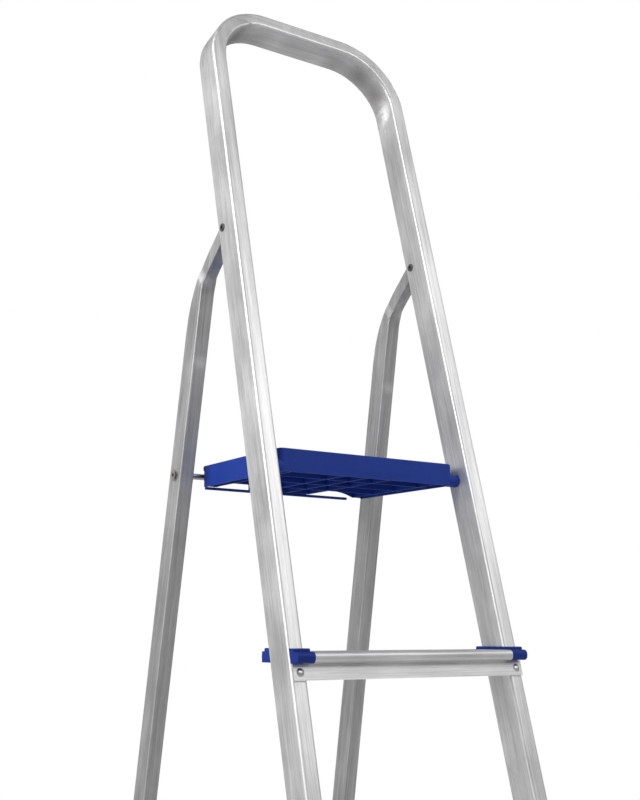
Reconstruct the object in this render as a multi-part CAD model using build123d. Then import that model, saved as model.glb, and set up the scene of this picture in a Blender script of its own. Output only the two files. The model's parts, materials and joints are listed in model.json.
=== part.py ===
from build123d import *
import os
from math import sin, cos, tan, radians, hypot

os.makedirs("parts", exist_ok=True)

# Main layout, mm. X is left-right, -Y is the climbing side, Z is up, floor at Z = 0.
STEP_RISE = 240.0
STEP_COUNT = 5
PLATFORM_Z = STEP_RISE * STEP_COUNT
LEAN = 14.7
SPLAY = 10.6
TAPER = 0.8
FRONT_Y = -71.45

# Front frame: one aluminium channel bent into an upside-down U, open to the rear.
STILE_WIDTH = 20.0
STILE_DEPTH = 40.0
STILE_WALL = 1.4
STILE_RADIUS = 4.0
HALF_WIDTH = 166.0
RAIL_RISE = 652.0
BEND_RADIUS = 94.0
FRAME_CUT_Z = 6.0

# Top pivot, measured up the stile and back from its front face.
PIVOT_RISE = 309.3
PIVOT_DEPTH = 31.0
PIVOT_RIVET_R = 3.0
RUNNING_GAP = 0.05

# Rear legs: rectangular tube, flattened at the top to fit inside the stile.
LEG_WIDTH = 20.0
LEG_DEPTH = 30.0
LEG_WALL = 1.4
LEG_OFFSET = 54.0
LEG_TOP_WIDTH = 15.8
LEG_TOP_DEPTH = 18.0
LEG_TOP_ANGLE = 38.0
CRIMP_START = 68.0
CRIMP_END = 80.0
LEG_BACK_BEND = 170.0
LEG_FRONT_BEND = 50.0

# Support rod under the rear of the platform.
ROD_R = 4.0
ROD_DROP = 320.5
ROD_OVERHANG = 1.9
ROD_HEAD_R = 6.5

# Platform, measured from the front face of the stiles at platform height.
DECK_FRONT = 14.0
DECK_REAR = 217.0
DECK_HALF_FRONT = 133.5
DECK_HALF_REAR = 128.5
DECK_DROP = 28.2
DECK_SKIN = 4.0
DECK_WALL = 2.6
RIB_DROP = 27.4
ARCH_X = 74.0
ARCH_HALF = 38.0
ARCH_RISE = 8.0
REAR_RIB_Y = 207.0
HOOK_REAR = 232.5
HOOK_HALF = 50.0
CLIP_HALF = 115.0
HINGE_Y = 22.5
HINGE_DROP = 20.5
LUG_R = 8.5
BOSS_R = 5.0

# Treads.
TREAD_NOSE = 18.0
TREAD_BACK = 57.0
TREAD_WALL = 2.2
NOSE_HEIGHT = 12.8
FLANGE_TOP = 13.4
FLANGE_BOTTOM = 31.2
TREAD_RIVET_R = 2.4
CAP_WALL = 3.0
CAP_COLLAR = 3.8

# Rear braces and feet.
BRACE_HEIGHTS = (170.0, 590.0)
BRACE_RISE = 28.0
BRACE_DEPTH = 10.0
BRACE_WALL = 1.4
BRACE_RIVET_R = 2.4
FOOT_WALL = 2.8
FOOT_HEIGHT = 42.0

FRAME = Pos(0, FRONT_Y, PLATFORM_Z) * Rot(-LEAN, 0, 0)
SIN_L = sin(radians(LEAN))
COS_L = cos(radians(LEAN))
SIN_S = sin(radians(SPLAY))
COS_S = cos(radians(SPLAY))
TAN_T = tan(radians(TAPER))
COS_T = cos(radians(TAPER))
BOTTOM_RUN = -PLATFORM_Z / COS_L - 60.0

PIVOT_Y = FRONT_Y + PIVOT_RISE * SIN_L + PIVOT_DEPTH * COS_L
PIVOT_Z = PLATFORM_Z + PIVOT_RISE * COS_L - PIVOT_DEPTH * SIN_L
ROD_Y = PIVOT_Y + LEG_OFFSET * COS_S + ROD_DROP * SIN_S
ROD_Z = PIVOT_Z + LEG_OFFSET * SIN_S - ROD_DROP * COS_S


def half_width(run, inset):
    """Distance from the middle to a line inset from the stile's outer face."""
    return HALF_WIDTH - run * TAN_T - inset / COS_T


def run_at(y, z):
    """Distance up the stile of a point given in the assembly frame."""
    return (y - FRONT_Y) * SIN_L + (z - PLATFORM_Z) * COS_L


def front_plane_y(z):
    """Y of the stiles' front face at a height."""
    return FRONT_Y + (z - PLATFORM_Z) * SIN_L / COS_L


def rail_outline(inset, bottom):
    """Closed outline under the bent rail, inset from its outer edge."""
    top = RAIL_RISE - inset
    low = half_width(bottom, inset)
    high = half_width(top, inset)
    corners = [(-low, bottom), (low, bottom), (high, top), (-high, top)]
    outline = Polygon(*corners, align=None)
    bends = outline.vertices().sort_by(Axis.Y)[2:]
    return fillet(bends, BEND_RADIUS - inset)


def rail_band(outer_inset, inner_inset, front, back):
    """Upside-down U of rectangular section, in the frame's own plane."""
    ring = rail_outline(outer_inset, BOTTOM_RUN) - rail_outline(inner_inset, BOTTOM_RUN - 20)
    return Pos(0, front, 0) * extrude(Plane.XZ * ring, amount=-(back - front))


def floor_cut(level):
    """Block that removes everything under a level."""
    return Pos(0, 0, level - 200) * Box(1200, 1600, 400)


def level_slab(high, low):
    """Everything between two levels."""
    return Pos(0, 0, (high + low) / 2) * Box(600, 1600, high - low)


def x_cylinder(radius, x0, x1, y, z):
    """Cylinder along X between two stations."""
    return Pos((x0 + x1) / 2, y, z) * Rot(0, 90, 0) * Cylinder(radius, abs(x1 - x0))


def long_edges(shape, level, axis):
    """Edges of the flat face at a level, without the short end edges."""
    face = shape.faces().filter_by(axis).sort_by(axis)[level]
    return [edge for edge in face.edges() if edge.length > STILE_WIDTH + 1]


def make_front_frame():
    outer = rail_band(0, STILE_WIDTH, 0, STILE_DEPTH)
    outer = fillet(long_edges(outer, 0, Axis.Y), STILE_RADIUS)
    inner = rail_band(STILE_WALL, STILE_WIDTH - STILE_WALL, STILE_WALL, STILE_DEPTH + 5)
    inner = fillet(long_edges(inner, 0, Axis.Y), STILE_RADIUS - STILE_WALL)
    frame = FRAME * (outer - inner) - floor_cut(FRAME_CUT_Z)
    pin_x = HALF_WIDTH + 5
    frame -= x_cylinder(PIVOT_RIVET_R, -pin_x, pin_x, PIVOT_Y, PIVOT_Z)
    hinge_y = FRONT_Y + HINGE_Y
    hinge_z = PLATFORM_Z - HINGE_DROP
    frame -= x_cylinder(BOSS_R + RUNNING_GAP, -155, 155, hinge_y, hinge_z)
    for step in range(1, STEP_COUNT):
        for side in (-1, 1):
            frame -= tread_rivet_shank(step, side)
    return frame


def stile_envelope(gap):
    """Solid block the stiles would fill, with a clearance all round."""
    return FRAME * rail_band(-gap, STILE_WIDTH + gap, -gap, STILE_DEPTH + gap)


# Treads.


def tread_seat(step, side):
    """Point on the stile's front face where a tread's flange is riveted."""
    top = STEP_RISE * step
    level = top - (FLANGE_TOP + FLANGE_BOTTOM) / 2 - 0.6
    run = (level - PLATFORM_Z) / COS_L
    return Pos(side * half_width(run, STILE_WIDTH / 2), 0, run)


def tread_rivet_shank(step, side):
    shank = Cylinder(TREAD_RIVET_R, 8)
    return FRAME * tread_seat(step, side) * Pos(0, 0.5, 0) * Rot(90, 0, 0) * shank


def make_tread_rivet(step, side):
    dome = Sphere(7.0) & Pos(0, 0, 4.9 + 5) * Box(20, 20, 10)
    dome = Pos(0, 0, -4.9) * dome
    tail = Pos(0, 0, -5.1) * Cylinder(3.6, 1.4)
    shank = Pos(0, 0, -2.4) * Cylinder(TREAD_RIVET_R, 4.8)
    rivet = Pos(0, -TREAD_WALL - 0.1, 0) * Rot(90, 0, 0) * (dome + shank + tail)
    return FRAME * tread_seat(step, side) * rivet


def tread_reach(step):
    """Half length of the tread between the end caps."""
    top = STEP_RISE * step
    run = run_at(front_plane_y(top) + TREAD_BACK, top)
    return half_width(run, STILE_WIDTH) - CAP_WALL - 0.3


def make_tread(step):
    top = STEP_RISE * step
    nose = Rectangle(TREAD_NOSE + 2, NOSE_HEIGHT, align=(Align.MIN, Align.MAX))
    nose = fillet(nose.vertices().sort_by(Axis.X)[:2], 5.5)
    nose = Pos(-TREAD_NOSE, 0) * nose
    hollow = offset(nose, -TREAD_WALL)
    deck = Rectangle(TREAD_BACK, TREAD_WALL, align=(Align.MIN, Align.MAX))
    lip = Pos(TREAD_BACK, -17) * Rectangle(TREAD_WALL, 17, align=(Align.MAX, Align.MIN))
    rib = Pos(26, -8) * Rectangle(TREAD_WALL, 8, align=(Align.MIN, Align.MIN))
    section = nose - hollow + deck + lip + rib
    for index in range(11):
        groove = Pos(-10.5 + index * 6.0, 0) * Rectangle(2.4, 1.2)
        section -= groove
    reach = tread_reach(step)
    origin = Pos(-reach, front_plane_y(top), top)
    body = origin * extrude(Plane.YZ * section, amount=2 * reach)
    flange_low = half_width((top - PLATFORM_Z) / COS_L, 0.8)
    flange = tread_flange(top, flange_low) & level_slab(top - FLANGE_TOP, top - FLANGE_BOTTOM)
    web = tread_flange(top, reach) & level_slab(top, top - FLANGE_TOP - 4)
    tread = body + flange + web
    for side in (-1, 1):
        tread -= tread_rivet_shank(step, side)
    return tread


def tread_flange(top, half):
    """Strip lying on the stiles' front face near a tread."""
    run = (top - PLATFORM_Z) / COS_L
    strip = Box(2 * half, TREAD_WALL, 120)
    return FRAME * Pos(0, -0.1 - TREAD_WALL / 2, run) * strip


def make_tread_cap(step, side):
    """Plastic end piece that grips the stile in front, inside and behind."""
    top = STEP_RISE * step
    y0 = front_plane_y(top)
    inner = tread_reach(step) + 0.1
    outer = half_width(run_at(y0, top), 0) + 0.2
    width = outer - inner
    nose = Rectangle(TREAD_NOSE + 2, NOSE_HEIGHT, align=(Align.MIN, Align.MAX))
    nose = Pos(-TREAD_NOSE - 0.4, 0.2) * fillet(nose.vertices().sort_by(Axis.X)[:2], 5.5)
    collar = Pos(-9, 0) * Rectangle(TREAD_BACK + 4, CAP_COLLAR, align=(Align.MIN, Align.MIN))
    collar = fillet(collar.vertices().sort_by(Axis.Y)[2:], 2.0)
    side_wall = Pos(-2, 0.1) * Rectangle(TREAD_BACK + 2, NOSE_HEIGHT - 0.2, align=(Align.MIN, Align.MAX))
    lug = Pos(30, 0.1) * Rectangle(27.5, 12, align=(Align.MIN, Align.MAX))
    lug = fillet(lug.vertices().sort_by(Axis.X)[2:], 5.0)
    profile = nose + collar + side_wall + lug
    block = extrude(Plane.YZ * profile, amount=width)
    block = Pos(inner, y0, top) * block
    shoulder = Pos(inner - 1, y0 - 40, top + 0.2) * Box(2.4, 140, 20, align=Align.MIN)
    block -= shoulder
    if side < 0:
        block = mirror(block, about=Plane.YZ)
    cap = block - stile_envelope(0.1)
    keep = stile_side_block(top, side)
    cap &= keep
    flange_half = half_width(run_at(y0, top), -2)
    below_nose = top - NOSE_HEIGHT + 0.1
    cap -= tread_flange(top, flange_half) & level_slab(below_nose, below_nose - 60)
    return cap.solids().sort_by(SortBy.VOLUME)[-1]


def stile_side_block(top, side):
    """Everything on the inner side of a stile's outer face near a tread."""
    run = (top - PLATFORM_Z) / COS_L
    centre = side * half_width(run, 0)
    block = Box(200, 400, 400)
    return FRAME * Pos(centre, 0, run) * Rot(0, -side * TAPER, 0) * Pos(-side * 100.2, 0, 0) * block


# Feet.


def stile_frame(side, run):
    """Local frame on a stile's centre line, Z along the stile."""
    return FRAME * Pos(side * half_width(run, STILE_WIDTH / 2), 0, run) * Rot(0, -side * TAPER, 0)


def make_front_foot(side):
    run = -PLATFORM_Z / COS_L
    shell = Box(STILE_WIDTH + 2 * FOOT_WALL, STILE_DEPTH + 2 * FOOT_WALL, 3 * FOOT_HEIGHT)
    shell = fillet(shell.edges().filter_by(Axis.Z), 4.0)
    shell = stile_frame(side, run) * Pos(0, STILE_DEPTH / 2, 0) * shell
    shell -= floor_cut(0)
    shell -= FRAME * Pos(0, 0, run + FOOT_HEIGHT + 62) * Box(900, 200, 100)
    room = stile_envelope(0.1) - floor_cut(FRAME_CUT_Z)
    foot = shell - room
    return foot.solids().sort_by(SortBy.VOLUME)[-1]


def leg_frame(side):
    """Leg axes at the top pivot, Z along the leg."""
    centre = side * half_width(PIVOT_RISE, STILE_WIDTH / 2)
    return Pos(centre, PIVOT_Y, PIVOT_Z) * Rot(SPLAY, 0, 0) * Rot(0, -side * TAPER, 0)


def make_rear_foot(side):
    drop = (PIVOT_Z + LEG_OFFSET * SIN_S) / COS_S
    shell = Box(LEG_WIDTH + 2 * FOOT_WALL, LEG_DEPTH + 2 * FOOT_WALL, 3 * FOOT_HEIGHT)
    shell = fillet(shell.edges().filter_by(Axis.Z), 4.0)
    shell = leg_frame(side) * Pos(0, LEG_OFFSET, -drop) * shell
    lid = leg_frame(side) * Pos(0, LEG_OFFSET, FOOT_HEIGHT + 58 - drop) * Box(90, 90, 100)
    core = leg_frame(side) * Pos(0, LEG_OFFSET, -drop) * Box(LEG_WIDTH + 0.2, LEG_DEPTH + 0.2, 400)
    core -= floor_cut(FRAME_CUT_Z)
    foot = shell - floor_cut(0) - lid - core
    return foot.solids().sort_by(SortBy.VOLUME)[-1]


# Rear frame.


def leg_profile(inset):
    """Side view of a rear leg in its own axes, pivot at the origin."""
    angle = radians(LEG_TOP_ANGLE)
    half = LEG_TOP_DEPTH / 2 - inset
    front = LEG_OFFSET - LEG_DEPTH / 2 + inset
    back = LEG_OFFSET + LEG_DEPTH / 2 - inset
    shift_y = half * cos(angle)
    shift_z = half * sin(angle)
    front_z = -(front + shift_y) / tan(angle) - shift_z
    back_z = -(back - shift_y) / tan(angle) + shift_z
    low = -1560.0
    points = [
        (front, low),
        (front, front_z),
        (-shift_y, -shift_z),
        (shift_y, shift_z),
        (back, back_z),
        (back, low),
    ]
    outline = Polygon(*points, align=None)
    front_corner = outline.vertices().sort_by_distance((front, front_z, 0))[0]
    outline = fillet(front_corner, LEG_FRONT_BEND + inset)
    back_corner = outline.vertices().sort_by_distance((back, back_z, 0))[0]
    outline = fillet(back_corner, LEG_BACK_BEND - inset)
    return outline + Circle(half)


def crimp_cut(half_top, half_low):
    """Side wedges that narrow the leg above the crimp."""
    section = Polygon(
        (-20, half_top),
        (CRIMP_START, half_top),
        (CRIMP_END, half_low),
        (CRIMP_END, half_low + 20),
        (-20, half_low + 20),
        align=None,
    )
    angle = radians(LEG_TOP_ANGLE)
    plane = Plane(origin=(0, 0, 0), x_dir=(0, sin(angle), -cos(angle)), z_dir=(0, cos(angle), sin(angle)))
    wedge = extrude(plane * section, amount=60, both=True)
    return wedge + mirror(wedge, about=Plane.YZ)


def leg_body(inset):
    half = LEG_WIDTH / 2 - inset
    body = extrude(Plane.YZ * leg_profile(inset), amount=half, both=True)
    if inset == 0:
        rims = []
        for face in body.faces().filter_by(Axis.X):
            rims += [edge for edge in face.edges() if edge.length > LEG_TOP_DEPTH + 2]
        rims = [edge for edge in rims if edge.center().Z > -1500]
        body = fillet([edge for edge in rims if edge.length != LEG_DEPTH], 1.8)
    return body - crimp_cut(LEG_TOP_WIDTH / 2 - inset, half)


def make_rear_leg(side):
    leg = leg_body(0) - leg_body(LEG_WALL)
    leg = leg_frame(side) * leg
    leg -= floor_cut(FRAME_CUT_Z)
    leg -= x_cylinder(PIVOT_RIVET_R + RUNNING_GAP, -190, 190, PIVOT_Y, PIVOT_Z)
    leg -= x_cylinder(ROD_R, -220, 220, ROD_Y, ROD_Z)
    for height in BRACE_HEIGHTS:
        leg -= brace_rivet_shank(height, side)
    return leg.solids().sort_by(SortBy.VOLUME)[-1]


def leg_outer_x(y, z):
    """Half width to the legs' outer face at a point."""
    drop = (y - PIVOT_Y) * SIN_S - (z - PIVOT_Z) * COS_S
    return half_width(PIVOT_RISE, STILE_WIDTH / 2) + drop * TAN_T + LEG_WIDTH / 2 / COS_T


def make_support_rod():
    reach = leg_outer_x(ROD_Y, ROD_Z) + ROD_OVERHANG
    rod = x_cylinder(ROD_R, -reach, reach, ROD_Y, ROD_Z)
    for side in (-1, 1):
        place = Pos(side * reach, ROD_Y, ROD_Z) * Rot(0, side * 90, 0)
        rod += place * Pos(0, 0, 0.5) * Cone(ROD_R, ROD_HEAD_R, 1.4)
        rod -= place * Pos(0, 0, -2.5) * Cylinder(2.7, 9)
    return rod


def make_rod_washers():
    washers = []
    for side in (-1, 1):
        ring = Cylinder(8.0, 1.2) - Cylinder(ROD_R + 0.1, 3)
        seat = Pos(side * (leg_outer_x(ROD_Y, ROD_Z) + 0.75), ROD_Y, ROD_Z) * Rot(SPLAY, 0, 0)
        washers.append(seat * Rot(0, -side * TAPER, 0) * Rot(0, 90, 0) * ring)
    return Compound(children=washers)


def brace_seat(height, side):
    """Point on the leg's rear face where a brace is riveted."""
    drop = (PIVOT_Z - height + (LEG_OFFSET + LEG_DEPTH / 2) * SIN_S) / COS_S
    return leg_frame(side) * Pos(0, LEG_OFFSET + LEG_DEPTH / 2, -drop)


def brace_rivet_shank(height, side):
    return brace_seat(height, side) * Rot(90, 0, 0) * Cylinder(BRACE_RIVET_R, 9)


def make_brace_rivets():
    rivets = []
    for height in BRACE_HEIGHTS:
        for side in (-1, 1):
            dome = Pos(0, 0, -4.9) * (Sphere(7.0) & Pos(0, 0, 9.9) * Box(20, 20, 10))
            shank = Pos(0, 0, -2.2) * Cylinder(BRACE_RIVET_R, 4.4)
            rivet = Pos(0, BRACE_WALL + 0.1, 0) * Rot(-90, 0, 0) * (dome + shank)
            rivets.append(brace_seat(height, side) * rivet)
    return Compound(children=rivets)


def make_brace(height):
    drop = (PIVOT_Z - height + (LEG_OFFSET + LEG_DEPTH / 2) * SIN_S) / COS_S
    half = half_width(PIVOT_RISE, STILE_WIDTH / 2) + drop * TAN_T + LEG_WIDTH / 2 - 1.0
    align = (Align.CENTER, Align.MIN, Align.CENTER)
    channel = Box(2 * half, BRACE_DEPTH, BRACE_RISE, align=align)
    channel = fillet(channel.edges().filter_by(Axis.X).group_by(Axis.Y)[0], 2.0)
    inside = BRACE_RISE - 2 * BRACE_WALL
    channel -= Pos(0, BRACE_WALL, 0) * Box(2 * half + 10, BRACE_DEPTH, inside, align=align)
    back = LEG_OFFSET + LEG_DEPTH / 2
    place = Pos(0, PIVOT_Y, PIVOT_Z) * Rot(SPLAY, 0, 0) * Pos(0, back + 0.1, -drop)
    brace = place * channel
    for side in (-1, 1):
        brace -= brace_rivet_shank(height, side)
    return brace


def make_pivot_rivet(side):
    """Rivet along the hinge axis with heads seated on the stile's side faces."""
    centre = half_width(PIVOT_RISE, STILE_WIDTH / 2)
    half = STILE_WIDTH / 2 / COS_T + 0.6
    rivet = x_cylinder(PIVOT_RIVET_R, side * centre - half, side * centre + half, PIVOT_Y, PIVOT_Z)
    seat = stile_frame(side, PIVOT_RISE) * Pos(0, PIVOT_DEPTH, 0)
    for way in (-1, 1):
        head = Pos(way * (STILE_WIDTH / 2 + 0.05), 0, 0) * Rot(0, way * 90, 0)
        disc = Cylinder(5.2, 1.5, align=(Align.CENTER, Align.CENTER, Align.MIN))
        disc = fillet(disc.edges().sort_by(Axis.Z)[-1], 0.9)
        rivet += seat * head * disc
        rivet -= seat * head * Pos(0, 0, 0.5) * Cylinder(1.9, 6)
    return rivet


# Platform.


def deck_outline(inset):
    """Plan of the platform, in the assembly frame's X and Y."""
    front = DECK_FRONT + inset
    rear = DECK_REAR - inset
    slope = (DECK_HALF_FRONT - DECK_HALF_REAR) / (DECK_REAR - DECK_FRONT)
    wide = DECK_HALF_FRONT - inset * (1 + slope)
    narrow = DECK_HALF_REAR - inset * (1 - slope)
    outline = Polygon((-wide, front), (wide, front), (narrow, rear), (-narrow, rear), align=None)
    return fillet(outline.vertices(), 7.0 - inset)


def deck_half_at(y):
    return DECK_HALF_FRONT - (y - DECK_FRONT) * (DECK_HALF_FRONT - DECK_HALF_REAR) / (DECK_REAR - DECK_FRONT)


def make_platform():
    body = extrude(deck_outline(0), amount=-DECK_DROP)
    body = fillet(body.faces().sort_by(Axis.Z)[-1].edges(), 1.6)
    body -= Pos(0, 0, -DECK_SKIN) * extrude(deck_outline(DECK_WALL), amount=-DECK_DROP)
    body += deck_ribs() & extrude(deck_outline(DECK_WALL / 2), amount=-DECK_DROP)
    body -= rod_mouth()
    body += hook()
    for side in (-1, 1):
        end = half_width(run_at(FRONT_Y + HINGE_Y, PLATFORM_Z - HINGE_DROP), STILE_WIDTH) - 0.75
        body += x_cylinder(LUG_R, side * (DECK_HALF_FRONT - 8), side * end, HINGE_Y, -HINGE_DROP)
        body += x_cylinder(BOSS_R, side * (end - 1), side * (end + 7), HINGE_Y, -HINGE_DROP)
    for index in range(16):
        station = 34 + index * 10.5
        body -= Pos(0, station, 0) * Box(2 * deck_half_at(station) - 26, 3.0, 1.6)
    return Pos(0, FRONT_Y, PLATFORM_Z) * body


def deck_ribs():
    """Stiffening ribs under the deck."""
    length = DECK_REAR - DECK_FRONT
    spine = Pos(0, DECK_FRONT + length / 2, -RIB_DROP / 2) * Box(2.2, length, RIB_DROP)
    ribs = spine
    for x in (-113, -36, 36, 113):
        ribs += Pos(x, 0, 0) * spine
    for y in (60, 110, 160, REAR_RIB_Y):
        ribs += Pos(0, y, -RIB_DROP / 2) * Box(2 * DECK_HALF_FRONT, 2.2, RIB_DROP)
    radius = (ARCH_HALF ** 2 + ARCH_RISE ** 2) / (2 * ARCH_RISE)
    for side in (-1, 1):
        place = Pos(side * ARCH_X, REAR_RIB_Y, ARCH_RISE - DECK_DROP - radius)
        ribs -= place * Rot(90, 0, 0) * Cylinder(radius, 6)
    return ribs


def rod_mouth():
    """Space the rod passes through as the platform lifts off it."""
    rod_y = ROD_Y - FRONT_Y
    seat = ROD_Z - PLATFORM_Z + ROD_R + 0.3
    front = rod_y - 11.0
    mouth = Pos(0, front + 30, seat - 30) * Box(400, 60, 60)
    for side in (-1, 1):
        mouth += Pos(side * (DECK_HALF_REAR + 5), front + 30, -21) * Box(26, 60, 30)
    return mouth


def hook():
    """Tongue, rear wall and clip bar that hold the rod from behind."""
    rod_y = ROD_Y - FRONT_Y
    align = (Align.CENTER, Align.MAX, Align.MAX)
    tongue = Pos(0, HOOK_REAR, 0) * Box(2 * HOOK_HALF, HOOK_REAR - DECK_REAR + 4, 5, align=align)
    wall = Pos(0, HOOK_REAR, -2) * Box(2 * HOOK_HALF - 6, 2.8, DECK_DROP - 2.5, align=align)
    bar = Pos(0, HOOK_REAR, -DECK_DROP + 3.0) * Box(2 * CLIP_HALF, 5.4, 3.5, align=align)
    bar = fillet(bar.edges().filter_by(Axis.X), 1.2)
    claw = fillet(tongue.edges().filter_by(Axis.Z).group_by(Axis.Y)[-1], 5.0) + wall + bar
    for x in (-37.5, 0, 37.5):
        gusset = Pos(x, HOOK_REAR - 1, -2) * Box(2.2, HOOK_REAR - 1 - rod_y - ROD_R - 0.4, 23.5, align=align)
        claw += gusset
    return claw


def main():
    export_step(make_front_frame(), "parts/front_frame.step")
    rivets = []
    for step in range(1, STEP_COUNT):
        export_step(make_tread(step), f"parts/tread_{step}.step")
        for side, name in ((-1, "left"), (1, "right")):
            export_step(make_tread_cap(step, side), f"parts/tread_cap_{name}_{step}.step")
            rivets.append(make_tread_rivet(step, side))
    export_step(Compound(children=rivets), "parts/tread_rivets.step")
    for side, name in ((-1, "left"), (1, "right")):
        export_step(make_front_foot(side), f"parts/front_foot_{name}.step")
        export_step(make_rear_foot(side), f"parts/rear_foot_{name}.step")
        export_step(make_rear_leg(side), f"parts/rear_leg_{name}.step")
        export_step(make_pivot_rivet(side), f"parts/pivot_rivet_{name}.step")
    export_step(make_support_rod(), "parts/support_rod.step")
    export_step(make_rod_washers(), "parts/rod_washers.step")
    export_step(make_brace(BRACE_HEIGHTS[0]), "parts/rear_brace_lower.step")
    export_step(make_brace(BRACE_HEIGHTS[1]), "parts/rear_brace_upper.step")
    export_step(make_brace_rivets(), "parts/brace_rivets.step")
    export_step(make_platform(), "parts/platform.step")


main()
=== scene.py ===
import json
import math

import bpy
import bmesh
from mathutils import Euler, Matrix, Vector

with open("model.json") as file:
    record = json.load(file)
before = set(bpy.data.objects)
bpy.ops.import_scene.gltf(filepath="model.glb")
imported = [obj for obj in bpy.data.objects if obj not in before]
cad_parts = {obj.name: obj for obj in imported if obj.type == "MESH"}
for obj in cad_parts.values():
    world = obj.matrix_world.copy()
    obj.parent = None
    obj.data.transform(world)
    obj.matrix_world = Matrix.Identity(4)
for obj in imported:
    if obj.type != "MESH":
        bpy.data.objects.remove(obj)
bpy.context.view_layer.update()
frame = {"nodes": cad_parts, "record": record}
nodes = frame["nodes"]
scene = bpy.context.scene

# Layout shared with the CAD part, metres and radians.
LEAN = math.radians(14.7)
SPLAY = math.radians(10.6)
TAPER = math.radians(0.8)
PLATFORM_Z = 1.2
FRONT_Y = -0.07145
HALF_WIDTH = 0.166
STILE_WIDTH = 0.020
RAIL_RISE = 0.652
BEND_RADIUS = 0.094
PIVOT_RISE = 0.3093
PIVOT_DEPTH = 0.031

# Frames that follow the leaning stiles and the splayed rear legs.
STILE_FRAME = Matrix.Translation((0, FRONT_Y, PLATFORM_Z)) @ Matrix.Rotation(-LEAN, 4, "X")
PIVOT = STILE_FRAME @ Vector((0, PIVOT_DEPTH, PIVOT_RISE))
LEG_FRAME = Matrix.Translation(PIVOT) @ Matrix.Rotation(SPLAY, 4, "X")

# Directions for Look.mapped that bring a profile's length onto Z.
ALONG_STILE = (LEAN, 0, 0)
ALONG_LEG = (-SPLAY, 0, 0)
ACROSS = (0, math.pi / 2, 0)

# Press dents on each rear leg, each with a painted highlight, metres: depth behind the pivot, drop
# below it, offset outwards, radius; then strength of the painted highlight and of the dent.
LEG_DENTS_AND_HIGHLIGHTS = (
    (0.040, 0.062, 0.008, 0.013, 0.8),
    (0.050, 0.054, 0.008, 0.012, 0.8),
    (0.039, 0.168, 0.0, 0.014, 0.55),
)
# Patches of painted shade inside each handrail bend: degrees round the bend, depth, strength.
BEND_SHADE_PATCHES = ((28, 0.024, 0.9), (55, 0.024, 0.9), (88, 0.030, 0.45))
BEND_SHADE_RADIUS = 0.036
# Grey mixed into the bends as painted shade.
PAINTED_SHADE_METAL = (0.3, 0.29, 0.285)
# Wrinkle at the lower end of each bend: degrees round the bend, depth, radius.
BEND_WRINKLE = (4, 0.029, 0.024)
RAIL_BLEND = 0.02
PLASTIC_SCUFF = (0.10, 0.16, 0.46)

VIEW_PLACE = (-0.8935, -1.2639, 0.9809)
VIEW_YAW = math.radians(34.117)
VIEW_PITCH = math.radians(7.179)
VIEW_LENS = 54.553
VIEW_SHIFT = 0.1
SENSOR = 36

FLOOR_RADIUS = 3.6
WORLD_LIGHT = 0.37
WORLD_SEEN = 1.0
BODY_AIM = (0, 0, 1.3)
# Soft boxes: name, place, aim, size, watts.
SOFT_BOXES = (
    ("front light", (0.5, -2.6, 3.0), BODY_AIM, (2.4, 1.8), 21),
    ("right light", (2.2, -2.1, 2.9), BODY_AIM, (2.4, 1.8), 12),
    ("left light", (-1.9, 0.1, 2.3), (0, 0, 1.45), (1.4, 1.4), 34),
    ("left fill", (-2.4, 0.4, 0.8), (0, 0, 0.9), (1.6, 1.2), 7),
)


# Material helpers.


def grey(value):
    return (value, value, value)


class Look:
    """A node material with its Principled shader and a few short cuts."""

    def __init__(self, name):
        self.mat = bpy.data.materials.new(name)
        self.mat.use_nodes = True
        self.tree = self.mat.node_tree
        self.shader = self.tree.nodes["Principled BSDF"]
        self.coord = self.tree.nodes.new("ShaderNodeTexCoord").outputs["Object"]

    def set(self, **values):
        for name, value in values.items():
            self.shader.inputs[name.replace("_", " ")].default_value = value
        return self

    def node(self, kind, **values):
        made = self.tree.nodes.new(kind)
        for name, value in values.items():
            setattr(made, name, value)
        return made

    def link(self, a, b):
        self.tree.links.new(a, b)

    def mapped(self, scale, rotation=(0, 0, 0)):
        """Object coordinates turned into a direction, then stretched."""
        turn = self.node("ShaderNodeMapping")
        turn.inputs["Rotation"].default_value = rotation
        self.link(self.coord, turn.inputs["Vector"])
        stretch = self.node("ShaderNodeMapping")
        stretch.inputs["Scale"].default_value = scale
        self.link(turn.outputs["Vector"], stretch.inputs["Vector"])
        return stretch.outputs["Vector"]

    def noise(self, vector, scale, detail=3.0, roughness=0.5):
        made = self.node("ShaderNodeTexNoise")
        made.inputs["Scale"].default_value = scale
        made.inputs["Detail"].default_value = detail
        made.inputs["Roughness"].default_value = roughness
        self.link(vector, made.inputs["Vector"])
        return made.outputs["Fac"]

    def ranged(self, value, low, high, to_low, to_high):
        made = self.node("ShaderNodeMapRange")
        made.inputs["From Min"].default_value = low
        made.inputs["From Max"].default_value = high
        made.inputs["To Min"].default_value = to_low
        made.inputs["To Max"].default_value = to_high
        self.link(value, made.inputs["Value"])
        return made.outputs["Result"]

    def math(self, operation, a, b):
        made = self.node("ShaderNodeMath", operation=operation)
        for socket, value in zip(made.inputs, (a, b)):
            if isinstance(value, (int, float)):
                socket.default_value = value
            else:
                self.link(value, socket)
        return made.outputs["Value"]

    def mix(self, factor, dark, light):
        made = self.node("ShaderNodeMix", data_type="RGBA")
        made.inputs["A"].default_value = (*dark, 1)
        made.inputs["B"].default_value = (*light, 1)
        self.link(factor, made.inputs["Factor"])
        return made.outputs["Result"]

    def bump(self, height, distance, strength=1.0, base=None):
        made = self.node("ShaderNodeBump")
        made.inputs["Distance"].default_value = distance
        made.inputs["Strength"].default_value = strength
        self.link(height, made.inputs["Height"])
        if base is not None:
            self.link(base, made.inputs["Normal"])
        return made.outputs["Normal"]


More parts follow.
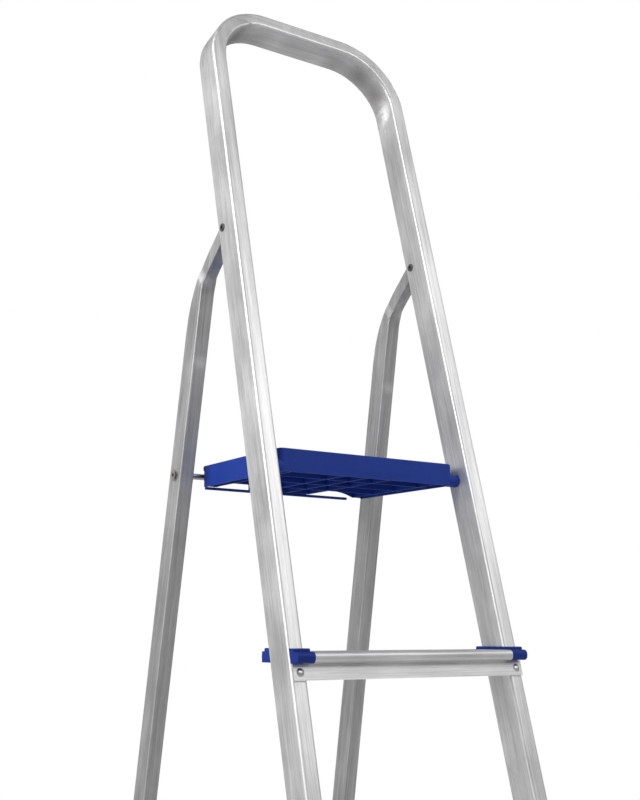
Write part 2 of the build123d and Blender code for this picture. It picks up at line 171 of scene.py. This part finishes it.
def rail_mask(look):
    """0 on the upright stiles and 1 on the top run, changing half way round each bend."""
    turned = look.node("ShaderNodeSeparateXYZ")
    look.link(look.mapped((1, 1, 1), ALONG_STILE), turned.inputs["Vector"])
    origin = FRONT_Y * math.sin(LEAN) + PLATFORM_Z * math.cos(LEAN)
    bend_x = HALF_WIDTH - BEND_RADIUS - (RAIL_RISE - BEND_RADIUS) * math.tan(TAPER)
    across = look.math("SUBTRACT", look.math("ABSOLUTE", turned.outputs["X"], 0), bend_x)
    up = look.math("SUBTRACT", turned.outputs["Z"], origin + RAIL_RISE - BEND_RADIUS)
    return look.ranged(look.math("SUBTRACT", up, across), -RAIL_BLEND, RAIL_BLEND, 0, 1)


def near(look, point, radius):
    """1 at a point, falling smoothly to 0 at a radius."""
    gap = look.node("ShaderNodeVectorMath", operation="DISTANCE")
    gap.inputs[1].default_value = point
    look.link(look.coord, gap.inputs[0])
    fall = look.node("ShaderNodeMapRange", interpolation_type="SMOOTHSTEP")
    fall.inputs["From Max"].default_value = radius
    fall.inputs["To Min"].default_value = 1
    fall.inputs["To Max"].default_value = 0
    look.link(gap.outputs["Value"], fall.inputs["Value"])
    return fall.outputs["Result"]


def streaks(look, along):
    """Die lines of an extrusion: fine and wide bands that run along one direction."""
    lines = look.noise(look.mapped((1, 1, 0.012), along), 900, 4, 0.7)
    wide = look.noise(look.mapped((1, 1, 0.02), along), 190, 3, 0.6)
    return look.math("ADD", look.math("MULTIPLY", lines, 0.6), look.math("MULTIPLY", wide, 0.4))


def drawn_metal(
    name, dark, light, along, rough=(0.36, 0.5), rail=False, dents_and_highlights=(), ripples=(), painted_shade=()
):
    """Extruded aluminium: die lines along the profile, stains, nicks, local dents with painted
    highlights and patches of painted shade.
    """
    look = Look(name).set(Metallic=0.8)
    lines = streaks(look, along)
    if rail:
        blend = look.node("ShaderNodeMix", data_type="FLOAT")
        look.link(rail_mask(look), blend.inputs["Factor"])
        look.link(lines, blend.inputs["A"])
        look.link(streaks(look, ACROSS), blend.inputs["B"])
        lines = blend.outputs["Result"]
    stain = look.noise(look.mapped((1, 1, 0.45), along), 18, 5, 0.65)
    nick = look.noise(look.mapped((1, 1, 0.35)), 240, 2, 0.5)
    tone = look.math("ADD", look.math("MULTIPLY", lines, 0.66), look.math("MULTIPLY", stain, 0.34))
    tone = look.ranged(tone, 0.38, 0.62, 0, 1)
    # Painted highlights: each leg dent also brightens the colour round its point.
    for point, radius, gain in dents_and_highlights:
        tone = look.math("ADD", tone, look.math("MULTIPLY", near(look, point, radius), gain))
    colour = look.mix(tone, dark, light)
    # Painted shade: patches inside the handrail bends are mixed towards a dark grey.
    for point, radius, gain in painted_shade:
        shade_mix = look.node("ShaderNodeMix", data_type="RGBA")
        shade_mix.inputs["B"].default_value = (*PAINTED_SHADE_METAL, 1)
        look.link(colour, shade_mix.inputs["A"])
        look.link(look.math("MULTIPLY", near(look, point, radius), gain), shade_mix.inputs["Factor"])
        colour = shade_mix.outputs["Result"]
    look.link(colour, look.shader.inputs["Base Color"])
    look.link(look.ranged(stain, 0.3, 0.75, *rough), look.shader.inputs["Roughness"])
    normal = look.bump(lines, 0.0003, 0.4)
    wavy = look.noise(look.mapped((1, 1, 0.6)), 24, 2, 0.5)
    normal = look.bump(wavy, 0.0008, 0.5, normal)
    normal = look.bump(look.ranged(nick, 0.68, 0.8, 0, -1), 0.0003, 0.6, normal)
    for point, radius, gain in dents_and_highlights:
        dent = look.math("MULTIPLY", near(look, point, radius), -gain)
        normal = look.bump(dent, 0.0012, 1, normal)
    for point, radius in ripples:
        wave = look.noise(look.mapped((1, 0.35, 1)), 75, 1, 0.4)
        height = look.math("MULTIPLY", wave, near(look, point, radius))
        normal = look.bump(height, 0.008, 1, normal)
    look.link(normal, look.shader.inputs["Normal"])
    return look.mat


def plated_steel(name, dark, light, rough):
    """Zinc plated steel: mottled, with turning marks round the piece."""
    look = Look(name).set(Metallic=0.9)
    mottle = look.noise(look.mapped((1, 1, 1)), 90, 5, 0.6)
    turned = look.noise(look.mapped((1, 0.2, 0.2)), 1400, 2, 0.6)
    colour = look.mix(look.ranged(mottle, 0.3, 0.7, 0, 1), dark, light)
    look.link(colour, look.shader.inputs["Base Color"])
    look.link(look.ranged(mottle, 0.3, 0.7, *rough), look.shader.inputs["Roughness"])
    look.link(look.bump(turned, 0.00015, 0.4), look.shader.inputs["Normal"])
    return look.mat


def moulded_plastic(name, deep, bright, scuff=PLASTIC_SCUFF):
    """Moulded polypropylene: fine spark texture, soft sheen, paler rubbed patches."""
    look = Look(name).set(Specular_IOR_Level=0.22)
    grain = look.noise(look.mapped((1, 1, 1)), 1900, 2, 0.6)
    cloud = look.noise(look.mapped((1, 1, 1)), 26, 5, 0.6)
    flow = look.noise(look.mapped((0.25, 1, 1)), 60, 3, 0.5)
    tone = look.math("ADD", look.math("MULTIPLY", cloud, 0.6), look.math("MULTIPLY", flow, 0.4))
    colour = look.mix(look.ranged(tone, 0.3, 0.7, 0, 1), deep, bright)
    scratch = look.noise(look.mapped((1, 0.05, 1), (0, 0, 0.5)), 420, 3, 0.7)
    lines = look.ranged(scratch, 0.62, 0.74, 0, 1)
    rubbed = look.math("MULTIPLY", lines, look.ranged(cloud, 0.45, 0.62, 0, 0.55))
    worn = look.node("ShaderNodeMix", data_type="RGBA")
    worn.inputs["B"].default_value = (*scuff, 1)
    look.link(colour, worn.inputs["A"])
    look.link(rubbed, worn.inputs["Factor"])
    look.link(worn.outputs["Result"], look.shader.inputs["Base Color"])
    look.link(look.ranged(tone, 0.3, 0.7, 0.38, 0.55), look.shader.inputs["Roughness"])
    look.link(look.bump(grain, 0.00012, 0.4), look.shader.inputs["Normal"])
    return look.mat


def leg_dents_and_highlights():
    """Press dents on both rear legs, brightened as painted highlights: at the crimp and on the
    front face under the bend.
    """
    spots = []
    for side in (-1, 1):
        for depth, drop, out, radius, gain in LEG_DENTS_AND_HIGHLIGHTS:
            x = HALF_WIDTH - STILE_WIDTH / 2 + (drop - PIVOT_RISE) * math.tan(TAPER) + out
            spots.append((LEG_FRAME @ Vector((side * x, depth, -drop)), radius, gain))
    return spots


def bend_point(side, angle, depth):
    """A point inside a handrail bend; 0 degrees is the stile end and 90 the top run."""
    turn = math.radians(angle)
    reach = BEND_RADIUS - STILE_WIDTH
    rise = RAIL_RISE - BEND_RADIUS
    x = HALF_WIDTH - BEND_RADIUS - rise * math.tan(TAPER) + reach * math.cos(turn)
    return STILE_FRAME @ Vector((side * x, depth, rise + reach * math.sin(turn)))


def bend_wrinkles():
    angle, depth, radius = BEND_WRINKLE
    return [(bend_point(side, angle, depth), radius) for side in (-1, 1)]


# Patches of painted shade inside both handrail bends.
def bend_shade_patches():
    return [
        (bend_point(side, angle, depth), BEND_SHADE_RADIUS, gain)
        for side in (-1, 1)
        for angle, depth, gain in BEND_SHADE_PATCHES
    ]


LOOKS = {
    "frame_aluminium": drawn_metal(
        "stile metal",
        (0.56, 0.56, 0.57),
        (0.95, 0.945, 0.945),
        ALONG_STILE,
        rail=True,
        ripples=bend_wrinkles(),
        # painted shade inside the bends
        painted_shade=bend_shade_patches(),
    ),
    "tread_aluminium": drawn_metal("tread metal", grey(0.56), grey(0.9), ACROSS),
    "leg_aluminium": drawn_metal(
        "leg metal",
        (0.34, 0.34, 0.345),
        (0.64, 0.635, 0.635),
        ALONG_LEG,
        (0.46, 0.6),
        # press dents with painted highlights
        dents_and_highlights=leg_dents_and_highlights(),
    ),
    "brace_aluminium": drawn_metal("brace metal", grey(0.42), grey(0.7), ACROSS),
    "rod_steel": plated_steel("rod metal", (0.42, 0.41, 0.40), (0.68, 0.67, 0.65), (0.25, 0.42)),
    "rivet_metal": plated_steel("rivet metal", (0.48, 0.48, 0.47), (0.78, 0.78, 0.77), (0.2, 0.36)),
    "platform_plastic": moulded_plastic(
        "platform plastic", (0.007, 0.034, 0.27), (0.012, 0.047, 0.34)
    ),
    "cap_plastic": moulded_plastic("cap plastic", (0.006, 0.024, 0.21), (0.010, 0.034, 0.265)),
    "foot_plastic": moulded_plastic(
        "foot plastic", (0.012, 0.03, 0.19), (0.017, 0.042, 0.24), (0.2, 0.24, 0.42)
    ),
}

for subpart in frame["record"]["subparts"]:
    node = nodes[subpart["node"]]
    node.data.materials.clear()
    node.data.materials.append(LOOKS[subpart["material_slot"]])

# The pivot rivets are coloured near-black: painted shade standing for their shadowed hollow
# centres.
shade_painted_rivet = plated_steel("pivot rivet metal", (0.05, 0.05, 0.055), grey(0.2), (0.4, 0.55))
for name in ("pivot_rivet_left", "pivot_rivet_right"):
    nodes[name].data.materials[0] = shade_painted_rivet


# Camera at the fitted viewpoint.

camera = bpy.data.objects.new("camera", bpy.data.cameras.new("camera"))
scene.collection.objects.link(camera)
camera.data.sensor_fit = "VERTICAL"
camera.data.sensor_width = SENSOR
camera.data.sensor_height = SENSOR
camera.data.lens = VIEW_LENS
camera.data.shift_y = VIEW_SHIFT
camera.data.clip_start = 0.05
camera.location = VIEW_PLACE
camera.rotation_euler = Euler((math.pi / 2 + VIEW_PITCH, 0, -VIEW_YAW), "XYZ")
scene.camera = camera


# Floor and soft studio light.


def plain_floor():
    mesh = bpy.data.meshes.new("floor")
    rig = bmesh.new()
    bmesh.ops.create_circle(rig, cap_ends=True, segments=96, radius=FLOOR_RADIUS)
    rig.to_mesh(mesh)
    rig.free()
    floor = bpy.data.objects.new("floor", mesh)
    scene.collection.objects.link(floor)
    look = Look("floor paint").set(Roughness=0.9)
    cloud = look.noise(look.mapped((1, 1, 1)), 3, 3, 0.5)
    look.link(look.mix(cloud, grey(0.76), grey(0.8)), look.shader.inputs["Base Color"])
    mesh.materials.append(look.mat)


def soft_box(name, place, aim, size, power):
    light = bpy.data.lights.new(name, "AREA")
    light.shape = "RECTANGLE"
    light.size, light.size_y = size
    light.energy = power
    lamp = bpy.data.objects.new(name, light)
    lamp.location = place
    lamp.rotation_euler = (Vector(aim) - Vector(place)).to_track_quat("-Z", "Y").to_euler()
    scene.collection.objects.link(lamp)


plain_floor()
for box in SOFT_BOXES:
    soft_box(*box)

# The world shows as white, but lights the ladder less strongly.
world = bpy.data.worlds.new("studio")
world.use_nodes = True
backdrop = world.node_tree.nodes["Background"]
backdrop.inputs["Color"].default_value = (1, 1, 1, 1)
seen = world.node_tree.nodes.new("ShaderNodeLightPath")
level = world.node_tree.nodes.new("ShaderNodeMapRange")
level.inputs["To Min"].default_value = WORLD_LIGHT
level.inputs["To Max"].default_value = WORLD_SEEN
world.node_tree.links.new(seen.outputs["Is Camera Ray"], level.inputs["Value"])
world.node_tree.links.new(level.outputs["Result"], backdrop.inputs["Strength"])
scene.world = world
scene.view_settings.view_transform = "Standard"
